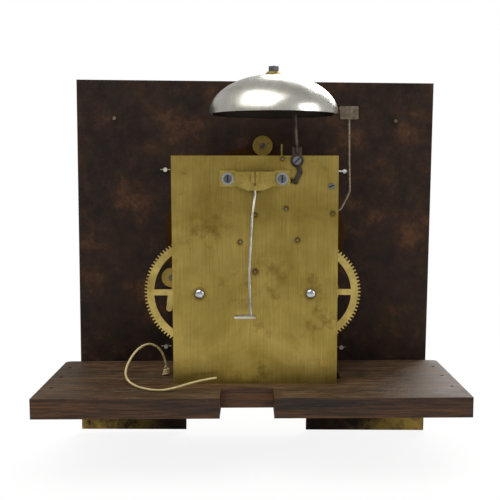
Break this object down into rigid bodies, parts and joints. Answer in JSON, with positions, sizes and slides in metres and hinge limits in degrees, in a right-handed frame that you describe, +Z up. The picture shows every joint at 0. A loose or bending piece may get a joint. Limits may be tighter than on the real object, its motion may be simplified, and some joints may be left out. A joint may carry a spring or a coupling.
{
  "type": "longcase clock movement with dial",
  "caption": "Eight-day rack-striking longcase clock movement with bell, square brass dial and oak seatboard, as seen out of its case.",
  "frame": {"origin": "underside of the seatboard, midway between the movement's plates and in line with the centre arbor", "axes": "+Z up, -Y towards the dial's front, +X to the right as seen from the dial's front"},
  "size_m": [0.321, 0.1657, 0.3107],
  "materials": {
    "oak": "dark aged oak, dusty",
    "plate_brass": "aged, brushed",
    "wheel_brass": "aged",
    "bright_brass": "satin",
    "dial_back_brass": "dark brown patina",
    "gilt_brass": "cast, lacquered",
    "bell_metal": "aged, satin",
    "silvered": "silvered",
    "steel": "worn, satin",
    "dark_iron": "forged, dark",
    "blued_steel": "blued",
    "gut": "smooth"
  },
  "bodies": {
    "frame": {"seatboard": "oak", "seatboard_screws": "steel", "back_plate": "plate_brass", "front_plate": "plate_brass", "pillars": "plate_brass", "taper_pins": "steel", "back_cock": "bright_brass", "suspension_stud": "bright_brass", "back_plate_screws": "steel", "cock_washers": "steel", "bell": "bell_metal", "bell_stand": "dark_iron", "bell_washer": "bright_brass", "bell_nut": "steel", "hammer_stop": "steel", "hammer_spring": "steel", "dial_plate": "dial_back_brass", "chapter_ring": "silvered", "seconds_ring": "silvered", "spandrels": "gilt_brass", "dial_feet": "plate_brass", "date_ring_keepers": "bright_brass", "dial_screws": "steel", "hour_bridge": "plate_brass", "bridge_screws": "steel", "front_studs": "steel", "gut_line": "gut", "gut_knot": "gut"},
    "centre": {"centre_arbor": "steel", "centre_wheel": "wheel_brass", "cannon_pinion": "wheel_brass", "minute_hand": "blued_steel"},
    "minute_work": {"minute_wheel": "wheel_brass"},
    "hour_work": {"hour_wheel": "wheel_brass", "snail": "wheel_brass", "hour_hand": "blued_steel"},
    "going_great": {"going_great_wheel": "wheel_brass"},
    "going_drum": {"going_barrel": "wheel_brass", "going_barrel_arbor": "steel"},
    "third": {"third_wheel": "wheel_brass"},
    "escape": {"escape_arbor": "steel", "escape_wheel": "wheel_brass", "seconds_hand": "blued_steel"},
    "pallets": {"anchor": "steel", "crutch": "steel"},
    "date": {"date_ring": "silvered"},
    "strike_great": {"strike_great_wheel": "wheel_brass"},
    "strike_drum": {"strike_barrel": "wheel_brass", "strike_barrel_arbor": "steel"},
    "pins": {"pin_wheel": "wheel_brass"},
    "gathering": {"gathering_wheel": "wheel_brass", "gathering_pallet": "steel"},
    "warning": {"warning_wheel": "wheel_brass"},
    "fly_body": {"fly": "wheel_brass"},
    "hammer_body": {"hammer_arbor": "steel", "hammer": "steel"},
    "rack_body": {"rack": "steel"},
    "lifting": {"lifting_piece": "steel"},
    "hook": {"rack_hook": "steel"}
  },
  "joints": [
    {"name": "centre_turn", "type": "hinge", "parent": "frame", "child": "centre", "pos_m": [0, 0, 0.102], "axis": [0, 1, 0], "continuous": true},
    {"name": "going_great_turn", "type": "hinge", "parent": "frame", "child": "going_great", "pos_m": [0.04245, 0, 0.08491], "axis": [0, 1, 0], "continuous": true},
    {"name": "minute_work_turn", "type": "hinge", "parent": "frame", "child": "minute_work", "pos_m": [0, 0, 0.0732], "axis": [0, 1, 0], "continuous": true},
    {"name": "hour_turn", "type": "hinge", "parent": "frame", "child": "hour_work", "pos_m": [0, 0, 0.102], "axis": [0, 1, 0], "continuous": true},
    {"name": "third_turn", "type": "hinge", "parent": "frame", "child": "third", "pos_m": [0.01119, 0, 0.12491], "axis": [0, 1, 0], "continuous": true},
    {"name": "escape_turn", "type": "hinge", "parent": "frame", "child": "escape", "pos_m": [0, 0, 0.145], "axis": [0, 1, 0], "continuous": true},
    {"name": "going_winding", "type": "hinge", "parent": "going_great", "child": "going_drum", "pos_m": [0.04245, 0, 0.08491], "axis": [0, 1, 0], "continuous": true},
    {"name": "pallets_rock", "type": "hinge", "parent": "frame", "child": "pallets", "pos_m": [0, 0, 0.1682], "axis": [0, 1, 0], "range_deg": [-2.5, 2.5]},
    {"name": "date_ring_turn", "type": "hinge", "parent": "frame", "child": "date", "pos_m": [-0.00016, 0, 0.1205], "axis": [0, 1, 0], "continuous": true},
    {"name": "gathering_turn", "type": "hinge", "parent": "frame", "child": "gathering", "pos_m": [-0.02359, 0, 0.14966], "axis": [0, -1, 0], "continuous": true},
    {"name": "pin_wheel_turn", "type": "hinge", "parent": "frame", "child": "pins", "pos_m": [-0.03221, 0, 0.12598], "axis": [0, -1, 0], "continuous": true},
    {"name": "strike_great_turn", "type": "hinge", "parent": "frame", "child": "strike_great", "pos_m": [-0.04245, 0, 0.08491], "axis": [0, -1, 0], "continuous": true},
    {"name": "warning_turn", "type": "hinge", "parent": "frame", "child": "warning", "pos_m": [-0.02623, 0, 0.17061], "axis": [0, -1, 0], "continuous": true},
    {"name": "fly_turn", "type": "hinge", "parent": "frame", "child": "fly_body", "pos_m": [-0.0208, 0, 0.1871], "axis": [0, -1, 0], "continuous": true},
    {"name": "strike_winding", "type": "hinge", "parent": "strike_great", "child": "strike_drum", "pos_m": [-0.04245, 0, 0.08491], "axis": [0, -1, 0], "continuous": true},
    {"name": "hammer_lift", "type": "hinge", "parent": "frame", "child": "hammer_body", "pos_m": [-0.0588, 0, 0.146], "axis": [0, -1, 0], "range_deg": [0, 10], "stiffness_Nm_per_rad": 0.01, "springref_deg": -20.05},
    {"name": "rack_fall", "type": "hinge", "parent": "frame", "child": "rack_body", "pos_m": [-0.03, 0, 0.062], "axis": [0, -1, 0], "range_deg": [0, 18.2]},
    {"name": "lifting_piece_lift", "type": "hinge", "parent": "frame", "child": "lifting", "pos_m": [0.033, 0, 0.112], "axis": [0, 1, 0], "range_deg": [0, 3]},
    {"name": "rack_hook_lift", "type": "hinge", "parent": "frame", "child": "hook", "pos_m": [0.014, 0, 0.158], "axis": [0, 1, 0], "range_deg": [0, 5.2]}
  ],
  "couplings": [
    {"joint": "going_great_turn", "follows": "centre_turn", "ratio": -0.083333},
    {"joint": "minute_work_turn", "follows": "centre_turn", "ratio": -1},
    {"joint": "hour_turn", "follows": "centre_turn", "ratio": 0.083333},
    {"joint": "third_turn", "follows": "centre_turn", "ratio": -7.5},
    {"joint": "escape_turn", "follows": "centre_turn", "ratio": 60},
    {"joint": "pin_wheel_turn", "follows": "gathering_turn", "ratio": -0.125},
    {"joint": "strike_great_turn", "follows": "gathering_turn", "ratio": 0.011905},
    {"joint": "warning_turn", "follows": "gathering_turn", "ratio": -7},
    {"joint": "fly_turn", "follows": "gathering_turn", "ratio": 49},
    {"joint": "rack_hook_lift", "follows": "lifting_piece_lift", "ratio": 1.72}
  ]
}
